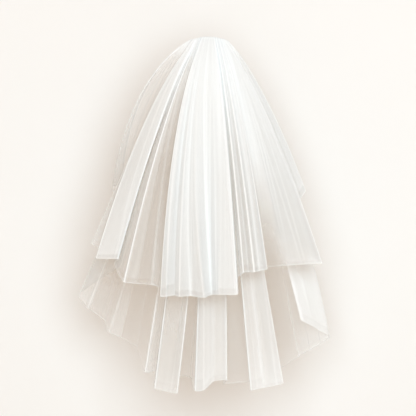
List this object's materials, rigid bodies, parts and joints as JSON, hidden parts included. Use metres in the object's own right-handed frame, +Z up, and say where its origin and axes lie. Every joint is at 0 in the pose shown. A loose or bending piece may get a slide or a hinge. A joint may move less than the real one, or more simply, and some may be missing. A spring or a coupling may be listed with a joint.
{
  "type": "bridal veil",
  "caption": "Tiered bridal veil of soft white tulle gathered onto a hair comb, hanging in long loose folds with raw rounded hems.",
  "frame": {"origin": "middle of the comb's spine, where the veil is held in the hair", "axes": "+Z up, towards the crown of the head; -Y is the outside of the veil that faces the picture; +Y is the open side, where the head goes; X runs along the comb"},
  "size_m": [0.5505, 0.245, 0.7676],
  "materials": {
    "tulle": "sheer soft net, matt with a faint sheen",
    "clear_plastic": "milky clear moulded plastic"
  },
  "bodies": {
    "root": {"comb": "clear_plastic", "lower_tier": "tulle", "upper_tier": "tulle"}
  },
  "joints": []
}
